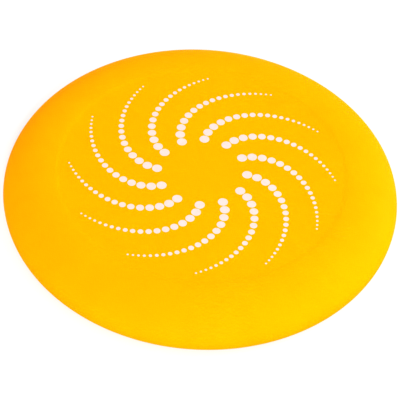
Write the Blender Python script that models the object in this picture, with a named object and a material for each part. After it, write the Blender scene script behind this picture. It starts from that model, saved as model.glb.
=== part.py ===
"""A flying disc: one injection-moulded plastic shell with a white screen print on its flight plate.

Metres, +Z up. The origin is on the disc's axis, at the height of the surface that its rim rests on.
The shell is one moulding: a flat flight plate, a shoulder that falls away to the widest circle, and a
thick rim lip that turns in under it. The print is a plain wheel of equal curved rows; each row is one
thin film of ink lying in the recessed middle of the plate.
"""

import math

import bmesh
import bpy

MM = 0.001

# Driving dimensions of the shell
DISC_RADIUS = 110.0 * MM
DISC_HEIGHT = 21.5 * MM
WIDEST_HEIGHT = 5.5 * MM
PLATE_WALL = 1.6 * MM
SHOULDER_WALL = 2.0 * MM

# The print zone in the middle of the flight plate is a little lower than the shoulder round it
ZONE_RADIUS = 78.4 * MM
ZONE_STEP_WIDTH = 3.4 * MM
ZONE_DEPTH = 0.25 * MM

# The rim lip: what the disc rests on, and what the fingers curl round
LIP_INNER_RADIUS = 104.9 * MM
LIP_HEIGHT = 7.0 * MM
LIP_OUTER_ROUND = 2.6 * MM
LIP_FOOT_ROUND = 1.0 * MM
LIP_TOP_ROUND = 1.5 * MM
LIP_BLEND_HEIGHT = 1.6 * MM

# The moulding gate under the middle of the plate: a nub in a shallow dimple
GATE_DIMPLE_RADIUS = 7.0 * MM
GATE_DIMPLE_DEPTH = 0.4 * MM
GATE_NUB_RADIUS = 1.6 * MM
GATE_NUB_HEIGHT = 0.9 * MM

# The screen print
PRINT_ROWS = 12
PRINT_INNER_RADIUS = 25.0 * MM
PRINT_OUTER_RADIUS = 74.0 * MM
PRINT_TWIST = math.radians(-60.0)
PRINT_TWIST_GROWTH = 1.35
PRINT_INNER_WIDTH = 5.8 * MM
PRINT_OUTER_WIDTH = 1.4 * MM
PRINT_TAPER_GROWTH = 1.4
PRINT_THICKNESS = 0.1 * MM
PRINT_CLEARANCE = 0.1 * MM

# How finely round shapes are faceted
TURN_STEPS = 96
SHOULDER_STEPS = 12
ROUND_STEPS = 3
ZONE_STEP_POINTS = 4
ROW_STATIONS = 16

# Worked out from the driving dimensions
SHOULDER_START = ZONE_RADIUS + ZONE_STEP_WIDTH
PLATE_TOP = DISC_HEIGHT - ZONE_DEPTH
PLATE_UNDERSIDE = PLATE_TOP - PLATE_WALL


def clear_scene():
    for old in list(bpy.data.objects):
        bpy.data.objects.remove(old)


def plastic(name, colour, roughness):
    """A Principled material with no metal in it."""
    material = bpy.data.materials.new(name)
    material.use_nodes = True
    shader = material.node_tree.nodes["Principled BSDF"]
    shader.inputs["Base Color"].default_value = (*colour, 1.0)
    shader.inputs["Roughness"].default_value = roughness
    shader.inputs["Metallic"].default_value = 0.0
    return material


def arc(centre, semi_axes, start, end, steps):
    """Points (radius, height) on an elliptical arc, from start to end in degrees, ends included."""
    points = []
    for i in range(steps + 1):
        angle = math.radians(start + (end - start) * i / steps)
        radius = centre[0] + semi_axes[0] * math.cos(angle)
        height = centre[1] + semi_axes[1] * math.sin(angle)
        points.append((radius, height))
    return points


def soft_step(start, end, steps):
    """Points of a smooth rise from start to end, level at both ends; the two ends are included."""
    points = []
    for i in range(steps + 1):
        share = i / steps
        eased = share * share * (3 - 2 * share)
        radius = start[0] + (end[0] - start[0]) * share
        height = start[1] + (end[1] - start[1]) * eased
        points.append((radius, height))
    return points


def top_profile():
    """From the middle of the flight plate over the shoulder to the foot of the lip."""
    zone_edge = (ZONE_RADIUS, PLATE_TOP)
    shoulder_edge = (SHOULDER_START, DISC_HEIGHT)
    shoulder_axes = (DISC_RADIUS - SHOULDER_START, DISC_HEIGHT - WIDEST_HEIGHT)
    lip_centre = (DISC_RADIUS - LIP_OUTER_ROUND, WIDEST_HEIGHT)
    points = [(0.0, PLATE_TOP)]
    points += soft_step(zone_edge, shoulder_edge, ZONE_STEP_POINTS)
    points += arc((SHOULDER_START, WIDEST_HEIGHT), shoulder_axes, 90, 0, SHOULDER_STEPS)[1:]
    points += arc(lip_centre, (LIP_OUTER_ROUND, WIDEST_HEIGHT), 0, -90, 2 * ROUND_STEPS)[1:]
    return points


def under_profile():
    """From the foot of the lip up its inner face and along the underside to the gate nub."""
    foot_centre = (LIP_INNER_RADIUS + LIP_FOOT_ROUND, LIP_FOOT_ROUND)
    crest_centre = (LIP_INNER_RADIUS + LIP_TOP_ROUND, LIP_HEIGHT - LIP_TOP_ROUND)
    wall_axes = (
        DISC_RADIUS - SHOULDER_WALL - SHOULDER_START,
        DISC_HEIGHT - SHOULDER_WALL - WIDEST_HEIGHT,
    )
    # The angle at which the inner wall stands one blend height above the lip
    wall_start = math.degrees(math.asin((LIP_HEIGHT + LIP_BLEND_HEIGHT - WIDEST_HEIGHT) / wall_axes[1]))
    under_edge = (SHOULDER_START, DISC_HEIGHT - SHOULDER_WALL)
    zone_edge = (ZONE_RADIUS, PLATE_UNDERSIDE)
    dimple_ceiling = PLATE_UNDERSIDE + GATE_DIMPLE_DEPTH
    nub_end = dimple_ceiling - GATE_NUB_HEIGHT
    points = arc(foot_centre, (LIP_FOOT_ROUND, LIP_FOOT_ROUND), -90, -180, ROUND_STEPS)
    points += arc(crest_centre, (LIP_TOP_ROUND, LIP_TOP_ROUND), 180, 90, ROUND_STEPS)
    points += arc((SHOULDER_START, WIDEST_HEIGHT), wall_axes, wall_start, 90, SHOULDER_STEPS - 2)
    points += soft_step(under_edge, zone_edge, ZONE_STEP_POINTS)[1:]
    points += [
        (GATE_DIMPLE_RADIUS, PLATE_UNDERSIDE),
        (GATE_DIMPLE_RADIUS - GATE_DIMPLE_DEPTH, dimple_ceiling),
        (GATE_NUB_RADIUS, dimple_ceiling),
        (GATE_NUB_RADIUS, nub_end),
        (0.0, nub_end),
    ]
    return points


def turned_object(name, profile, material):
    """A solid turned about Z from a profile that starts and ends on the axis."""
    mesh = bpy.data.meshes.new(name)
    shape = bmesh.new()
    corners = [shape.verts.new((radius, 0.0, height)) for radius, height in profile]
    edges = [shape.edges.new(pair) for pair in zip(corners, corners[1:])]
    bmesh.ops.spin(
        shape,
        geom=corners + edges,
        cent=(0.0, 0.0, 0.0),
        axis=(0.0, 0.0, 1.0),
        angle=2 * math.pi,
        steps=TURN_STEPS,
        use_merge=True,
    )
    bmesh.ops.remove_doubles(shape, verts=shape.verts, dist=0.001 * MM)
    bmesh.ops.recalc_face_normals(shape, faces=shape.faces)
    shape.to_mesh(mesh)
    shape.free()
    mesh.shade_smooth()
    mesh.set_sharp_from_angle(angle=math.radians(35))
    mesh.materials.append(material)
    obj = bpy.data.objects.new(name, mesh)
    bpy.context.scene.collection.objects.link(obj)
    return obj


def row_outline():
    """The plan outline of one printed row, a tapered strip that bends clockwise as it runs outwards."""
    near_side, far_side = [], []
    for i in range(ROW_STATIONS + 1):
        share = i / ROW_STATIONS
        radius = PRINT_INNER_RADIUS + (PRINT_OUTER_RADIUS - PRINT_INNER_RADIUS) * share
        turn = PRINT_TWIST * share**PRINT_TWIST_GROWTH
        taper = share**PRINT_TAPER_GROWTH
        half_width = (PRINT_INNER_WIDTH + (PRINT_OUTER_WIDTH - PRINT_INNER_WIDTH) * taper) / 2
        turn_rate = PRINT_TWIST * PRINT_TWIST_GROWTH * share ** (PRINT_TWIST_GROWTH - 1)
        slant = math.atan2(radius * turn_rate, PRINT_OUTER_RADIUS - PRINT_INNER_RADIUS)
        across = turn + slant + math.pi / 2
        x, y = radius * math.cos(turn), radius * math.sin(turn)
        step_x, step_y = half_width * math.cos(across), half_width * math.sin(across)
        near_side.append((x - step_x, y - step_y))
        far_side.append((x + step_x, y + step_y))
    return near_side + far_side[::-1]


def row_mesh(material):
    """One row's film, lying just above the print zone; every row shares it."""
    mesh = bpy.data.meshes.new("print_row")
    shape = bmesh.new()
    bottom = PLATE_TOP + PRINT_CLEARANCE
    corners = [shape.verts.new((x, y, bottom)) for x, y in row_outline()]
    film = shape.faces.new(corners)
    raised = bmesh.ops.extrude_face_region(shape, geom=[film])
    top_corners = [item for item in raised["geom"] if isinstance(item, bmesh.types.BMVert)]
    bmesh.ops.translate(shape, verts=top_corners, vec=(0.0, 0.0, PRINT_THICKNESS))
    bmesh.ops.recalc_face_normals(shape, faces=shape.faces)
    shape.to_mesh(mesh)
    shape.free()
    mesh.materials.append(material)
    return mesh


def add_print(disc, material):
    """The rows stand at equal angles round the axis and belong to the disc."""
    mesh = row_mesh(material)
    for i in range(PRINT_ROWS):
        row = bpy.data.objects.new(f"print_row_{i + 1:02d}", mesh)
        row.rotation_euler.z = 2 * math.pi * i / PRINT_ROWS
        row.parent = disc
        bpy.context.scene.collection.objects.link(row)


def main():
    clear_scene()
    shell_plastic = plastic("disc_plastic", colour=(0.95, 0.47, 0.0), roughness=0.42)
    white_ink = plastic("white_ink", colour=(0.90, 0.89, 0.87), roughness=0.5)
    disc = turned_object("disc_shell", top_profile() + under_profile(), shell_plastic)
    add_print(disc, white_ink)


main()
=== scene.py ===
"""Looks of a flying disc: the moulded shell, its white screen print, the studio and the camera."""
import math
import random

import bmesh
import bpy
from mathutils import Matrix, Vector


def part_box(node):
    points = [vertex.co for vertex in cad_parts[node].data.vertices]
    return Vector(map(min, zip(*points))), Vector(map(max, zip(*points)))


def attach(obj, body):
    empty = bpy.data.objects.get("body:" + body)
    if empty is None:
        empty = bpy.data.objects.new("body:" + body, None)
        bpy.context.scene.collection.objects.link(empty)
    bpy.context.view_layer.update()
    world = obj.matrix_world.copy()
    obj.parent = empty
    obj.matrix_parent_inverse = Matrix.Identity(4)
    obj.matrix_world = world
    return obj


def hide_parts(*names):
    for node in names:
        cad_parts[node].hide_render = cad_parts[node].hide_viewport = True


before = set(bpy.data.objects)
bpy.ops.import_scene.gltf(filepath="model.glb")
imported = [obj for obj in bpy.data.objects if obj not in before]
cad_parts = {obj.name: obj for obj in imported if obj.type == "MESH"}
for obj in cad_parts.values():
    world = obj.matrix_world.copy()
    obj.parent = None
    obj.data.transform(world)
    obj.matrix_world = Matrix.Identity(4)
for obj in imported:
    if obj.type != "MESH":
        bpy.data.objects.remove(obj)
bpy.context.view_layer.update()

MM = 0.001
BODY = "root"

# The shell's section: the CAD node's size and the design's own dimensions
shell_low, shell_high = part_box("disc_shell")
DISC_RADIUS = (shell_high.x - shell_low.x) / 2
DISC_HEIGHT = shell_high.z - shell_low.z
WIDEST_HEIGHT = 5.5 * MM
PLATE_WALL = 1.6 * MM
SHOULDER_WALL = 2.0 * MM
ZONE_RADIUS = 78.4 * MM
ZONE_STEP_WIDTH = 3.4 * MM
ZONE_DEPTH = 0.25 * MM
LIP_INNER_RADIUS = 104.9 * MM
LIP_HEIGHT = 7.0 * MM
LIP_OUTER_ROUND = 2.6 * MM
LIP_FOOT_ROUND = 1.0 * MM
LIP_TOP_ROUND = 1.5 * MM
LIP_BLEND_HEIGHT = 1.6 * MM
GATE_DIMPLE_RADIUS = 7.0 * MM
GATE_DIMPLE_DEPTH = 0.4 * MM
GATE_NUB_RADIUS = 1.6 * MM
GATE_NUB_HEIGHT = 0.9 * MM
SHOULDER_START = ZONE_RADIUS + ZONE_STEP_WIDTH
PLATE_TOP = DISC_HEIGHT - ZONE_DEPTH
PLATE_UNDERSIDE = PLATE_TOP - PLATE_WALL

# What the mould leaves on the shell: the line where its halves meet, and the marks of its ejector pins
PARTING_LINE_HEIGHT = 0.04 * MM
PARTING_LINE_FOOT = 0.15 * MM
PARTING_LINE_CREST = 0.05 * MM
EJECTOR_COUNT = 6
EJECTOR_CIRCLE = 58.0 * MM
EJECTOR_RADIUS = 3.0 * MM
EJECTOR_DEPTH = 0.2 * MM
EJECTOR_CORNERS = 48
FIRST_EJECTOR = math.radians(15.6)

# Fineness of the shell
TURN_STEPS = 288
PLATE_RING_SPACING = 6.0 * MM
SHOULDER_STEPS = 40
ROUND_STEPS = 8
STEP_POINTS = 14
SHARP_SHELL_EDGE = math.radians(35.0)

# The print: equal curved rows of round dots
PRINT_ROWS = 12
PRINT_INNER_RADIUS = 25.0 * MM
PRINT_OUTER_RADIUS = 74.0 * MM
PRINT_TWIST = math.radians(-60.0)
PRINT_TWIST_GROWTH = 1.35
DOT_INNER_WIDTH = 5.6 * MM
DOT_OUTER_WIDTH = 1.2 * MM
DOT_TAPER_GROWTH = 1.4
DOT_GAP = 0.25 * MM
DOT_GAP_GROWTH = 1.3 * MM
DOT_CORNERS = 40
DOT_WOBBLE = 0.03 * MM
DOT_WAVES = (2, 3, 5, 8)
DOT_WAVE_SIZES = (0.3, 1.0)
SHARE_STEP = 0.0005
INK_THICKNESS = 0.03 * MM
INK_EDGE = 0.06 * MM
INK_SINK = 0.02 * MM
INK_EDGE_COVER = 0.7
INK_COVER = "ink_cover"
SHARP_INK_EDGE = math.radians(60.0)

# A dot's section, from its buried edge to its flat top: inset from the outline, height, cover
DOT_SECTION = [
    (0.0, -INK_SINK, INK_EDGE_COVER),
    (0.0, 0.55 * INK_THICKNESS, INK_EDGE_COVER),
    (0.4 * INK_EDGE, 0.9 * INK_THICKNESS, INK_EDGE_COVER),
    (INK_EDGE, INK_THICKNESS, 1.0),
    (3 * INK_EDGE, INK_THICKNESS, 1.0),
]

# Colours, linear
PLASTIC_COLOUR_LIGHT = (0.955, 0.39, 0.0, 1.0)
PLASTIC_COLOUR_DEEP = (0.95, 0.378, 0.0, 1.0)
PLASTIC_COLOUR_PALE = (0.96, 0.5, 0.06, 1.0)
INK_COLOUR = (0.70, 0.565, 0.54, 1.0)
INK_COLOUR_THIN = (0.69, 0.54, 0.49, 1.0)
FLOOR_COLOUR = (0.3, 0.3, 0.3, 1.0)
WHITE = (1.0, 1.0, 1.0, 1.0)

# The plastic's surface. A noise's scale is about how many of its features fit in a metre, and a
# band is the stretch of its values, from 0 to 1, over which its effect goes from one end to the other
CLOUD_SCALE = 22.0
CLOUD_BAND = (0.3, 0.7)
TONE_BAND = (0.15, 0.38)
PIGMENT_SCALE = 1100.0
PIGMENT_BAND = (0.62, 0.8)
PIGMENT_SHARE = 0.1
FLOW_SCALE = 5.0
FLOW_DRIFT = 9.0
SWELL_SCALE = 75.0
SWELL_DEPTH = 0.02 * MM
GRAIN_SCALE = 4000.0
GRAIN_DEPTH = 0.014 * MM
PLASTIC_ROUGHNESS = (0.42, 0.5)
PLASTIC_SPECULAR = 0.01
PLASTIC_SUBSURFACE = 0.15
SUBSURFACE_REACH = (1.0, 0.45, 0.1)
SUBSURFACE_DEPTH = 1.0 * MM

# Its wear: patches of hair scratches, which run two ways, and scuffs on the foot. A way is its
# direction in degrees, the noise's scale across the scratches, and the value above which one shows
SCRATCH_WAYS = [
    (24.0, 2300.0, 0.68),
    (131.0, 1900.0, 0.69),
]
SCRATCH_LENGTH_SCALE = 26.0
SCRATCH_EDGE = 0.03
SCRATCH_SHARE = 0.12
PATCH_SCALE = 17.0
PATCH_BAND = (0.45, 0.62)
SCUFF_SCALE = 420.0
SCUFF_BAND = (0.42, 0.66)
SCUFF_SHARE = 0.45
SCUFFED_HEIGHTS = (0.2 * MM, 2.2 * MM)
WEAR_DULLING = 0.35
WEAR_DEPTH = 0.006 * MM

# The ink's surface
MOTTLE_SCALE = 420.0
MOTTLE_BAND = (0.35, 0.65)
PINHOLE_SCALE = 900.0
PINHOLE_EDGE = (0.06, 0.1)
PINHOLE_SHARE = 0.5
WEAVE_SCALE = 2400.0
WEAVE_DEPTH = 0.004 * MM
INK_ROUGHNESS = (0.48, 0.6)
INK_SPECULAR = 0.2

# The studio. A light: name, azimuth (0 is +X, 90 is +Y), elevation, distance, width, power in watts
FLOOR_SIZE = 16.0
FLOOR_ROUGHNESS = 0.9
FLOOR_GLOW = 0.46
WORLD_STRENGTH = 0.71
LIGHTS = [
    ("right_light", 27.0, 21.0, 1.47, 1.07, 11.2),
    ("front_light", -87.0, 30.5, 1.5, 0.33, 9.8),
]

CAMERA_ELEVATION = math.radians(47.589)
CAMERA_DISTANCE = 1.1
CAMERA_ROLL = math.radians(4.121)
CAMERA_LENS = 176.31
CAMERA_SENSOR = 36.0
CAMERA_SHIFT = (-0.00063, -0.00665)
CAMERA_CLIP = (0.05, 50.0)


# ---------------------------------------------------------------- the shell

def arc(centre, semi_axes, start, end, steps):
    """Points (radius, height) on an elliptical arc, from start to end in degrees, ends included."""
    points = []
    for i in range(steps + 1):
        angle = math.radians(start + (end - start) * i / steps)
        radius = centre[0] + semi_axes[0] * math.cos(angle)
        height = centre[1] + semi_axes[1] * math.sin(angle)
        points.append((radius, height))
    return points


def soft_step(start, end, steps):
    """Points of a smooth rise from start to end, level at both ends; the two ends are included."""
    points = []
    for i in range(steps + 1):
        share = i / steps
        eased = share * share * (3 - 2 * share)
        radius = start[0] + (end[0] - start[0]) * share
        height = start[1] + (end[1] - start[1]) * eased
        points.append((radius, height))
    return points


def level(start_radius, end_radius, height):
    """Points of a flat stretch without its two ends, one about every PLATE_RING_SPACING."""
    steps = max(2, round(abs(end_radius - start_radius) / PLATE_RING_SPACING))
    return [(start_radius + (end_radius - start_radius) * i / steps, height) for i in range(1, steps)]


def parting_line():
    """Points of the hair-thin ridge round the widest circle, from above to below."""
    crest_radius = DISC_RADIUS + PARTING_LINE_HEIGHT
    return [
        (DISC_RADIUS, WIDEST_HEIGHT + PARTING_LINE_FOOT),
        (crest_radius, WIDEST_HEIGHT + PARTING_LINE_CREST),
        (crest_radius, WIDEST_HEIGHT - PARTING_LINE_CREST),
        (DISC_RADIUS, WIDEST_HEIGHT - PARTING_LINE_FOOT),
    ]


def top_profile():
    """From the middle of the flight plate over the shoulder to the foot of the lip."""
    shoulder_axes = (DISC_RADIUS - SHOULDER_START, DISC_HEIGHT - WIDEST_HEIGHT)
    lip_centre = (DISC_RADIUS - LIP_OUTER_ROUND, WIDEST_HEIGHT)
    points = [(0.0, PLATE_TOP)]
    points += level(0.0, ZONE_RADIUS, PLATE_TOP)
    points += soft_step((ZONE_RADIUS, PLATE_TOP), (SHOULDER_START, DISC_HEIGHT), STEP_POINTS)
    points += arc((SHOULDER_START, WIDEST_HEIGHT), shoulder_axes, 90, 0, SHOULDER_STEPS)[1:-1]
    points += parting_line()
    points += arc(lip_centre, (LIP_OUTER_ROUND, WIDEST_HEIGHT), 0, -90, 2 * ROUND_STEPS)[1:]
    return points


def under_profile():
    """From the foot of the lip up its inner face and along the underside to the gate nub."""
    foot_centre = (LIP_INNER_RADIUS + LIP_FOOT_ROUND, LIP_FOOT_ROUND)
    crest_centre = (LIP_INNER_RADIUS + LIP_TOP_ROUND, LIP_HEIGHT - LIP_TOP_ROUND)
    wall_axes = (
        DISC_RADIUS - SHOULDER_WALL - SHOULDER_START,
        DISC_HEIGHT - SHOULDER_WALL - WIDEST_HEIGHT,
    )
    wall_start = math.degrees(math.asin((LIP_HEIGHT + LIP_BLEND_HEIGHT - WIDEST_HEIGHT) / wall_axes[1]))
    under_edge = (SHOULDER_START, DISC_HEIGHT - SHOULDER_WALL)
    dimple_ceiling = PLATE_UNDERSIDE + GATE_DIMPLE_DEPTH
    nub_end = dimple_ceiling - GATE_NUB_HEIGHT
    points = arc(foot_centre, (LIP_FOOT_ROUND, LIP_FOOT_ROUND), -90, -180, ROUND_STEPS)
    points += arc(crest_centre, (LIP_TOP_ROUND, LIP_TOP_ROUND), 180, 90, ROUND_STEPS)
    points += arc((SHOULDER_START, WIDEST_HEIGHT), wall_axes, wall_start, 90, SHOULDER_STEPS)
    points += soft_step(under_edge, (ZONE_RADIUS, PLATE_UNDERSIDE), STEP_POINTS)[1:]
    points += level(ZONE_RADIUS, GATE_DIMPLE_RADIUS, PLATE_UNDERSIDE)
    points += [
        (GATE_DIMPLE_RADIUS, PLATE_UNDERSIDE),
        (GATE_DIMPLE_RADIUS - GATE_DIMPLE_DEPTH, dimple_ceiling),
        (GATE_NUB_RADIUS, dimple_ceiling),
        (GATE_NUB_RADIUS, nub_end),
        (0.0, nub_end),
    ]
    return points


def turned_mesh(name, profile):
    """A closed surface turned about Z from a profile that starts and ends on the axis."""
    rings = profile[1:-1]
    verts = [(0.0, 0.0, profile[0][1])]
    for radius, height in rings:
        for i in range(TURN_STEPS):
            angle = 2 * math.pi * i / TURN_STEPS
            verts.append((radius * math.cos(angle), radius * math.sin(angle), height))
    verts.append((0.0, 0.0, profile[-1][1]))
    last = len(verts) - 1
    faces = []
    for i in range(TURN_STEPS):
        j = (i + 1) % TURN_STEPS
        faces.append((0, 1 + i, 1 + j))
        for k in range(len(rings) - 1):
            inner, outer = 1 + k * TURN_STEPS, 1 + (k + 1) * TURN_STEPS
            faces.append((inner + i, outer + i, outer + j, inner + j))
        rim = 1 + (len(rings) - 1) * TURN_STEPS
        faces.append((last, rim + j, rim + i))
    mesh = bpy.data.meshes.new(name)
    mesh.from_pydata(verts, [], faces)
    return mesh


def add_object(name, mesh):
    obj = bpy.data.objects.new(name, mesh)
    bpy.context.scene.collection.objects.link(obj)
    return obj


def ejector_cutter():
    """Short plugs in a circle. Their upper halves sink the ejector marks into the plate's underside."""
    mesh = bpy.data.meshes.new("ejector_cutter")
    shape = bmesh.new()
    for i in range(EJECTOR_COUNT):
        angle = FIRST_EJECTOR + 2 * math.pi * i / EJECTOR_COUNT
        x, y = EJECTOR_CIRCLE * math.cos(angle), EJECTOR_CIRCLE * math.sin(angle)
        bmesh.ops.create_cone(
            shape,
            cap_ends=True,
            segments=EJECTOR_CORNERS,
            radius1=EJECTOR_RADIUS,
            radius2=EJECTOR_RADIUS,
            depth=2 * EJECTOR_DEPTH,
            matrix=Matrix.Translation((x, y, PLATE_UNDERSIDE)),
        )
    shape.to_mesh(mesh)
    shape.free()
    return add_object("ejector_cutter", mesh)


def moulded_shell():
    """The whole moulding, with the ejector marks cut into it."""
    shell = add_object("moulded_shell", turned_mesh("moulded_shell", top_profile() + under_profile()))
    cutter = ejector_cutter()
    cut = shell.modifiers.new("ejector_marks", "BOOLEAN")
    cut.object = cutter
    cut.operation = "DIFFERENCE"
    cut.solver = "EXACT"
    whole = shell.evaluated_get(bpy.context.evaluated_depsgraph_get())
    marked_mesh = bpy.data.meshes.new_from_object(whole)
    shell.modifiers.clear()
    shell.data = marked_mesh
    bpy.data.objects.remove(cutter)
    marked_mesh.shade_smooth()
    marked_mesh.set_sharp_from_angle(angle=SHARP_SHELL_EDGE)
    return shell


# ---------------------------------------------------------------- the print

def row_point(share):
    """Where one printed row's middle line runs, from its inner end at 0 to its outer end at 1."""
    radius = PRINT_INNER_RADIUS + (PRINT_OUTER_RADIUS - PRINT_INNER_RADIUS) * share
    turn = PRINT_TWIST * share**PRINT_TWIST_GROWTH
    return Vector((radius * math.cos(turn), radius * math.sin(turn), PLATE_TOP))


def dot_width(share):
    return DOT_INNER_WIDTH + (DOT_OUTER_WIDTH - DOT_INNER_WIDTH) * share**DOT_TAPER_GROWTH


def row_dots():
    """(centre, radius) of a row's dots: each is smaller than the one before it and just clear of it."""
    dots, share = [], 0.0
    while share <= 1.0:
        centre, width = row_point(share), dot_width(share)
        dots.append((centre, width / 2))
        gap = DOT_GAP + DOT_GAP_GROWTH * share
        while share <= 1.0 and (row_point(share) - centre).length < (width + dot_width(share)) / 2 + gap:
            share += SHARE_STEP
    return dots


def dot_ring(shape, centre, reaches, height, cover):
    """A ring of a dot's corners at the given distances from its middle."""
    cover_layer = shape.verts.layers.float[INK_COVER]
    ring = []
    for i, reach in enumerate(reaches):
        angle = 2 * math.pi * i / len(reaches)
        offset = Vector((reach * math.cos(angle), reach * math.sin(angle), height))
        vert = shape.verts.new(centre + offset)
        vert[cover_layer] = cover
        ring.append(vert)
    return ring


def dot_outline(radius, rng):
    """Distances from a dot's middle to its slightly uneven outline."""
    waves = []
    for count in DOT_WAVES:
        size = rng.uniform(*DOT_WAVE_SIZES) * DOT_WOBBLE / count
        waves.append((count, size, rng.uniform(0, 2 * math.pi)))
    outline = []
    for i in range(DOT_CORNERS):
        angle = 2 * math.pi * i / DOT_CORNERS
        outline.append(radius + sum(size * math.cos(count * angle + phase) for count, size, phase in waves))
    return outline


def add_dot(shape, centre, radius, rng):
    """One closed film of ink that thins out at its edge."""
    outline = dot_outline(radius, rng)
    rings = []
    for inset, height, cover in DOT_SECTION:
        rings.append(dot_ring(shape, centre, [reach - inset for reach in outline], height, cover))
    for low, high in zip(rings, rings[1:]):
        for i in range(DOT_CORNERS):
            j = (i + 1) % DOT_CORNERS
            shape.faces.new((low[i], low[j], high[j], high[i]))
    shape.faces.new(rings[-1])
    shape.faces.new(rings[0][::-1])


def printed_row(number, dots):
    """One row of dots, turned to its place on the disc."""
    rng = random.Random(number)
    shape = bmesh.new()
    shape.verts.layers.float.new(INK_COVER)
    for centre, radius in dots:
        add_dot(shape, centre, radius, rng)
    turn = 2 * math.pi * (number - 1) / PRINT_ROWS
    shape.transform(Matrix.Rotation(turn, 4, "Z"))
    name = f"printed_row_{number:02d}"
    mesh = bpy.data.meshes.new(name)
    shape.to_mesh(mesh)
    shape.free()
    mesh.shade_smooth()
    mesh.set_sharp_from_angle(angle=SHARP_INK_EDGE)
    return add_object(name, mesh)


# ---------------------------------------------------------------- materials

def new_material(name):
    """A material, its node tree and its Principled shader."""
    material = bpy.data.materials.new(name)
    material.use_nodes = True
    return material, material.node_tree, material.node_tree.nodes["Principled BSDF"]


def add_node(tree, kind, inputs, output=0, **settings):
    """Adds a node and returns one of its outputs. Inputs given as sockets are linked, others are set."""
    node = tree.nodes.new(kind)
    for name, value in settings.items():
        setattr(node, name, value)
    for key, value in inputs.items():
        if isinstance(value, bpy.types.NodeSocket):
            tree.links.new(value, node.inputs[key])
        else:
            node.inputs[key].default_value = value
    return node.outputs[output]


def object_place(tree):
    return add_node(tree, "ShaderNodeTexCoord", {}, output="Object")


def noise(tree, place, scale, detail=2.0):
    inputs = {"Vector": place, "Scale": scale, "Detail": detail, "Roughness": 0.5}
    return add_node(tree, "ShaderNodeTexNoise", inputs)


def remap(tree, value, low, high, to_low, to_high, kind="LINEAR"):
    """Value from low..high to to_low..to_high, held at the ends."""
    inputs = {"Value": value, "From Min": low, "From Max": high, "To Min": to_low, "To Max": to_high}
    return add_node(tree, "ShaderNodeMapRange", inputs, interpolation_type=kind)


def calculate(tree, operation, a, b):
    return add_node(tree, "ShaderNodeMath", {0: a, 1: b}, operation=operation)


def vector_calculate(tree, operation, inputs):
    return add_node(tree, "ShaderNodeVectorMath", inputs, operation=operation)


def mix_colour(tree, share, a, b):
    """A colour between a, at share 0, and b, at share 1."""
    factor, colour_a, colour_b, colour_result = 0, 6, 7, 2
    inputs = {factor: share, colour_a: a, colour_b: b}
    return add_node(tree, "ShaderNodeMix", inputs, output=colour_result, data_type="RGBA")


def bump(tree, height, depth, below=None):
    """A bumped normal, on top of the normal below if there is one."""
    inputs = {"Height": height, "Distance": depth, "Strength": 1.0}
    if below is not None:
        inputs["Normal"] = below
    return add_node(tree, "ShaderNodeBump", inputs)


def scratches(tree, place, direction, fineness, rarity):
    """Hair scratches that run one way: 1 on a scratch and 0 beside it."""
    inputs = {
        "Vector": place,
        "Rotation": (0.0, 0.0, math.radians(direction)),
        "Scale": (SCRATCH_LENGTH_SCALE, fineness, fineness),
    }
    stretched = add_node(tree, "ShaderNodeMapping", inputs)
    return remap(tree, noise(tree, stretched, 1.0, detail=1.0), rarity, rarity + SCRATCH_EDGE, 0.0, 1.0)


def flow_streaks(tree, place):
    """Streaks that run out from the gate: they change with direction, and only slowly with radius."""
    flat = vector_calculate(tree, "MULTIPLY", {0: place, 1: (1.0, 1.0, 0.0)})
    direction = vector_calculate(tree, "NORMALIZE", {0: flat})
    slow_radius = vector_calculate(tree, "SCALE", {0: place, "Scale": FLOW_DRIFT})
    flow_place = vector_calculate(tree, "ADD", {0: direction, 1: slow_radius})
    return noise(tree, flow_place, FLOW_SCALE, detail=3.0)


def handling_wear(tree, place):
    """0 on clean plastic; more on hair scratches, which come in patches, and on the scuffed foot."""
    patches = remap(tree, noise(tree, place, PATCH_SCALE), *PATCH_BAND, 0.0, 1.0, kind="SMOOTHSTEP")
    one_way, other_way = (scratches(tree, place, *way) for way in SCRATCH_WAYS)
    hairs = calculate(tree, "MULTIPLY", calculate(tree, "MAXIMUM", one_way, other_way), patches)
    height = add_node(tree, "ShaderNodeSeparateXYZ", {0: place}, output="Z")
    foot = remap(tree, height, *SCUFFED_HEIGHTS, 1.0, 0.0, kind="SMOOTHSTEP")
    rubbed = remap(tree, noise(tree, place, SCUFF_SCALE, detail=4.0), *SCUFF_BAND, 0.0, 1.0)
    scuffs = calculate(tree, "MULTIPLY", foot, rubbed)
    faint_hairs = calculate(tree, "MULTIPLY", hairs, SCRATCH_SHARE)
    faint_scuffs = calculate(tree, "MULTIPLY", scuffs, SCUFF_SHARE)
    return calculate(tree, "MAXIMUM", faint_hairs, faint_scuffs)


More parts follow.
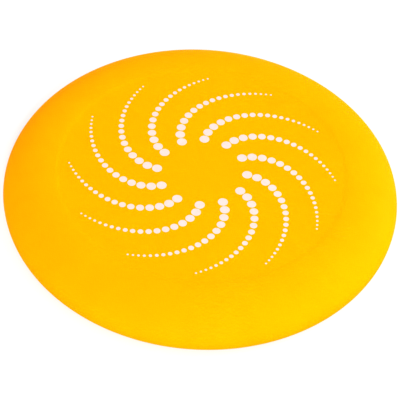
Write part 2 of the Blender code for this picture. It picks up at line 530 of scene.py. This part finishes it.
def shell_material():
    """Satin moulded plastic with faint flow marks from its gate, a fine grain and light wear."""
    material, tree, shader = new_material("satin_yellow_plastic")
    place = object_place(tree)
    clouds = noise(tree, place, CLOUD_SCALE, detail=3.0)
    worn = handling_wear(tree, place)

    tone = calculate(tree, "MULTIPLY", flow_streaks(tree, place), clouds)
    tone = remap(tree, tone, *TONE_BAND, 0.0, 1.0)
    colour = mix_colour(tree, tone, PLASTIC_COLOUR_DEEP, PLASTIC_COLOUR_LIGHT)
    specks = noise(tree, place, PIGMENT_SCALE, detail=1.0)
    pigment = remap(tree, specks, *PIGMENT_BAND, 0.0, PIGMENT_SHARE)
    colour = mix_colour(tree, pigment, colour, PLASTIC_COLOUR_LIGHT)
    colour = mix_colour(tree, worn, colour, PLASTIC_COLOUR_PALE)
    tree.links.new(colour, shader.inputs["Base Color"])

    satin = remap(tree, clouds, *CLOUD_BAND, *PLASTIC_ROUGHNESS)
    dulled = calculate(tree, "MULTIPLY", worn, WEAR_DULLING)
    tree.links.new(calculate(tree, "ADD", satin, dulled), shader.inputs["Roughness"])

    swell = bump(tree, noise(tree, place, SWELL_SCALE, detail=1.0), SWELL_DEPTH)
    grain = bump(tree, noise(tree, place, GRAIN_SCALE), GRAIN_DEPTH, below=swell)
    cuts = bump(tree, calculate(tree, "SUBTRACT", 1.0, worn), WEAR_DEPTH, below=grain)
    tree.links.new(cuts, shader.inputs["Normal"])

    shader.inputs["Specular IOR Level"].default_value = PLASTIC_SPECULAR
    shader.inputs["Subsurface Weight"].default_value = PLASTIC_SUBSURFACE
    shader.inputs["Subsurface Radius"].default_value = SUBSURFACE_REACH
    shader.inputs["Subsurface Scale"].default_value = SUBSURFACE_DEPTH
    return material


def ink_material():
    """White screen ink: a slightly uneven film. The plastic shows at its edges and in its pinholes."""
    material, tree, shader = new_material("white_screen_ink")
    place = object_place(tree)
    mottle = remap(tree, noise(tree, place, MOTTLE_SCALE, detail=3.0), *MOTTLE_BAND, 0.0, 1.0)
    colour = mix_colour(tree, mottle, INK_COLOUR_THIN, INK_COLOUR)
    cells = {"Vector": place, "Scale": PINHOLE_SCALE}
    cell_centre = add_node(tree, "ShaderNodeTexVoronoi", cells, output="Distance")
    pinholes = remap(tree, cell_centre, *PINHOLE_EDGE, PINHOLE_SHARE, 0.0)
    cover = add_node(tree, "ShaderNodeAttribute", {}, output="Fac", attribute_name=INK_COVER)
    bare = calculate(tree, "MAXIMUM", pinholes, calculate(tree, "SUBTRACT", 1.0, cover))
    colour = mix_colour(tree, bare, colour, PLASTIC_COLOUR_LIGHT)
    tree.links.new(colour, shader.inputs["Base Color"])
    tree.links.new(remap(tree, mottle, 0.0, 1.0, *INK_ROUGHNESS), shader.inputs["Roughness"])
    weave = bump(tree, noise(tree, place, WEAVE_SCALE, detail=1.0), WEAVE_DEPTH)
    tree.links.new(weave, shader.inputs["Normal"])
    shader.inputs["Specular IOR Level"].default_value = INK_SPECULAR
    return material


def floor_material():
    """A pale matt floor with a faint glow of its own, so that the disc's shadow stays light."""
    material, _, shader = new_material("pale_floor")
    shader.inputs["Base Color"].default_value = FLOOR_COLOUR
    shader.inputs["Roughness"].default_value = FLOOR_ROUGHNESS
    shader.inputs["Specular IOR Level"].default_value = 0.0
    shader.inputs["Emission Color"].default_value = WHITE
    shader.inputs["Emission Strength"].default_value = FLOOR_GLOW
    return material


# ---------------------------------------------------------------- the studio and the camera

def add_floor():
    half = FLOOR_SIZE / 2
    corners = [(-half, -half, 0), (half, -half, 0), (half, half, 0), (-half, half, 0)]
    mesh = bpy.data.meshes.new("floor")
    mesh.from_pydata(corners, [], [(0, 1, 2, 3)])
    mesh.materials.append(floor_material())
    add_object("floor", mesh)


def add_world():
    world = bpy.data.worlds.new("studio")
    world.use_nodes = True
    background = world.node_tree.nodes["Background"]
    background.inputs["Color"].default_value = WHITE
    background.inputs["Strength"].default_value = WORLD_STRENGTH
    bpy.context.scene.world = world


def add_light(name, azimuth, elevation, distance, width, power):
    """A round soft box that faces the disc."""
    light = bpy.data.lights.new(name, "AREA")
    light.shape = "DISK"
    light.size = width
    light.energy = power
    around, up = math.radians(azimuth), math.radians(elevation)
    towards = Vector((math.cos(around) * math.cos(up), math.sin(around) * math.cos(up), math.sin(up)))
    box = add_object(name, light)
    box.location = towards * distance
    box.rotation_euler = towards.to_track_quat("Z", "Y").to_euler()
    box.visible_camera = False


def add_camera():
    data = bpy.data.cameras.new("camera")
    data.lens = CAMERA_LENS
    data.sensor_width = CAMERA_SENSOR
    data.shift_x, data.shift_y = CAMERA_SHIFT
    data.clip_start, data.clip_end = CAMERA_CLIP
    camera = add_object("camera", data)
    back = Vector((0.0, -math.cos(CAMERA_ELEVATION), math.sin(CAMERA_ELEVATION)))
    camera.location = back * CAMERA_DISTANCE
    camera.rotation_euler = (math.pi / 2 - CAMERA_ELEVATION, 0.0, 0.0)
    camera.rotation_euler.rotate_axis("Z", CAMERA_ROLL)
    bpy.context.scene.camera = camera


# ---------------------------------------------------------------- the scene

def finish_piece(piece, material, node):
    """Gives a piece its material, ties it to the disc and hides the CAD node that it stands for."""
    piece.data.materials.append(material)
    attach(piece, BODY)
    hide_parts(node)


def main():
    finish_piece(moulded_shell(), shell_material(), "disc_shell")
    ink, dots = ink_material(), row_dots()
    for number in range(1, PRINT_ROWS + 1):
        finish_piece(printed_row(number, dots), ink, f"print_row_{number:02d}")
    add_floor()
    add_world()
    for light in LIGHTS:
        add_light(*light)
    add_camera()
    bpy.context.scene.view_settings.view_transform = "Standard"
    bpy.context.scene.view_settings.look = "High Contrast"


main()
